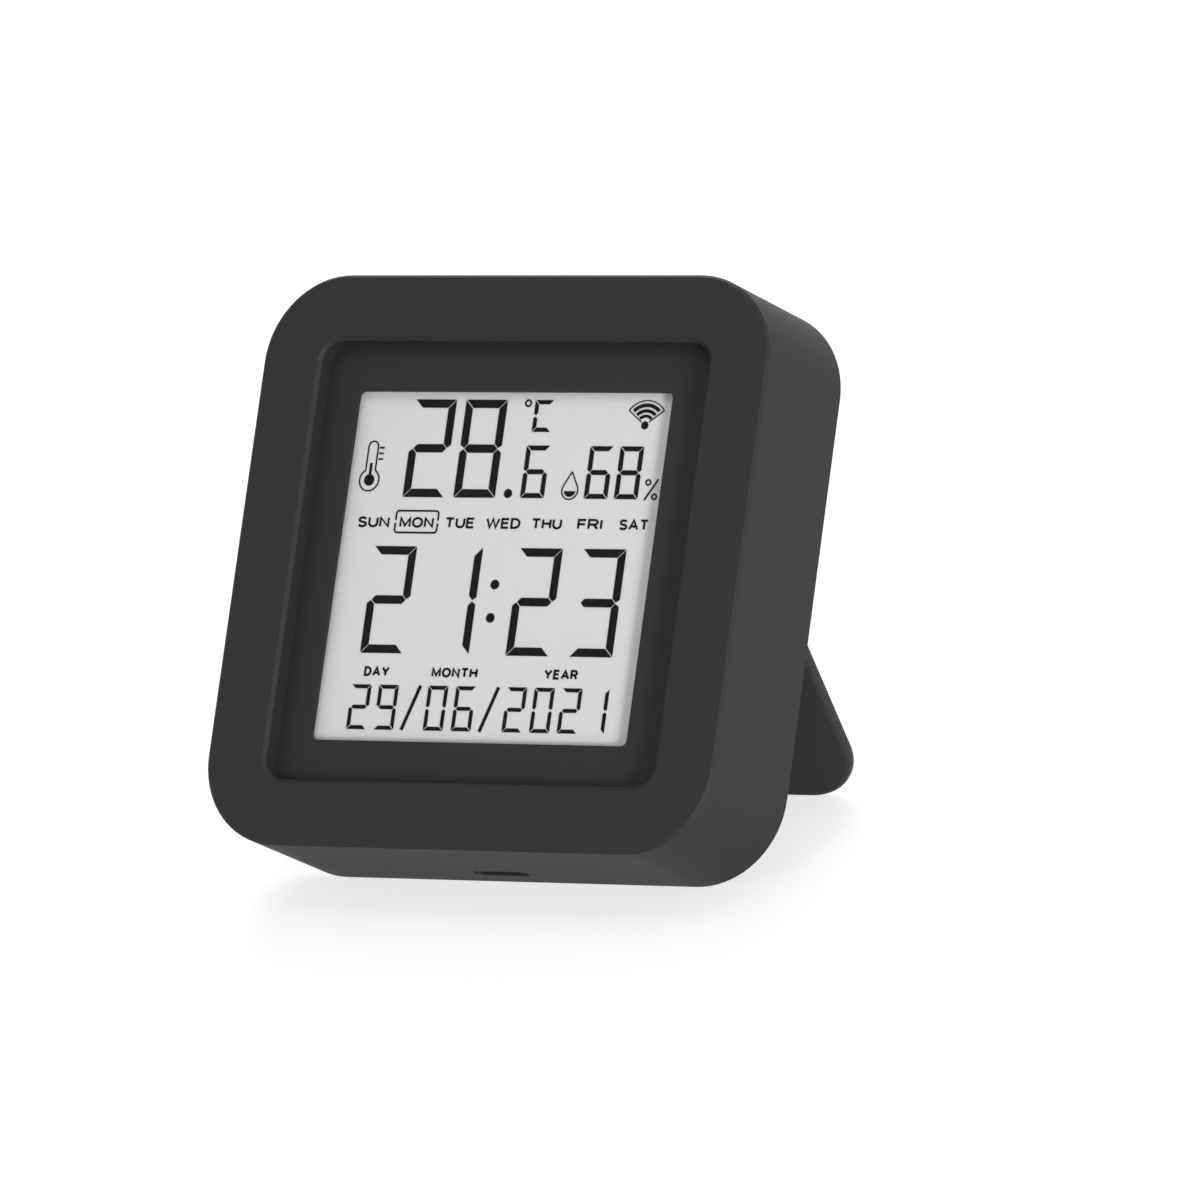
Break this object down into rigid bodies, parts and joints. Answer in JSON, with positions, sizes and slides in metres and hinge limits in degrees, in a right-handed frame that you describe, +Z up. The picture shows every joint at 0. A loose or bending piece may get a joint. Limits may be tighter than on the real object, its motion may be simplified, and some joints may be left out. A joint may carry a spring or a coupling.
{
  "type": "temperature and humidity sensor",
  "caption": "Square desk temperature and humidity sensor with a sunken display, a power socket in its bottom face, a rear pairing button and a fold-out stand.",
  "frame": {"origin": "on the table under the middle of the part as it stands open on its stand", "axes": "+X to the right across the display, +Y away from the viewer, +Z up; the casing leans back 34.8 degrees"},
  "size_m": [0.065, 0.0504, 0.0626],
  "materials": {
    "casing_plastic": "fine matt moulded finish, charcoal",
    "button_plastic": "satin moulded finish, charcoal",
    "window_plastic": "clear polished sheet",
    "display_film": "anti-glare film with the dark display figures",
    "display_glass": "thin float glass",
    "display_ground": "pale grey reflective film",
    "elastomer": "layered conductive elastomer",
    "white_plastic": "white moulded frame",
    "board_laminate": "green solder mask over glass laminate",
    "module_laminate": "black solder mask over glass laminate",
    "chip_resin": "moulded resin with plated leads",
    "capacitor_ceramic": "fired ceramic with plated ends",
    "plated_metal": "bright plated sheet",
    "inner_black_plastic": "moulded black plastic",
    "foam": "double-sided foam tape",
    "cell_foil": "laminated pouch foil",
    "screw_steel": "dark zinc plating",
    "pin_steel": "drawn steel wire"
  },
  "bodies": {
    "casing": {"front_housing": "casing_plastic", "display_bezel": "casing_plastic", "display_window": "window_plastic", "usb_shell": "plated_metal", "usb_tongue": "inner_black_plastic", "rear_cover": "casing_plastic", "lcd_front_polariser": "display_film", "lcd_front_glass": "display_glass", "lcd_rear_glass": "display_glass", "lcd_reflector": "display_ground", "contact_strips": "elastomer", "lcd_holder": "white_plastic", "main_board": "board_laminate", "display_driver": "chip_resin", "power_chips": "chip_resin", "crystal": "plated_metal", "board_capacitors": "capacitor_ceramic", "wifi_board": "module_laminate", "wifi_shield": "plated_metal", "switch_body": "inner_black_plastic", "sensor_header": "inner_black_plastic", "sensor_board": "board_laminate", "humidity_sensor": "chip_resin", "battery_pad": "foam", "battery_cell": "cell_foil", "battery_tabs": "plated_metal", "board_screws": "screw_steel", "cover_screws": "screw_steel", "hinge_pin": "pin_steel"},
    "stand": {"kickstand": "casing_plastic"},
    "pairing_key": {"switch_plunger": "inner_black_plastic", "pairing_button": "button_plastic"}
  },
  "joints": [
    {"name": "stand_hinge", "type": "hinge", "parent": "casing", "child": "stand", "pos_m": [0, 0.00475, 0.02629], "axis": [1, 0, 0], "range_deg": [-55, 0]},
    {"name": "button_press", "type": "slide", "parent": "casing", "child": "pairing_key", "axis": [0, -0.8214, 0.5704], "range_m": [0, 0.00025], "stiffness_N_per_m": 600}
  ]
}
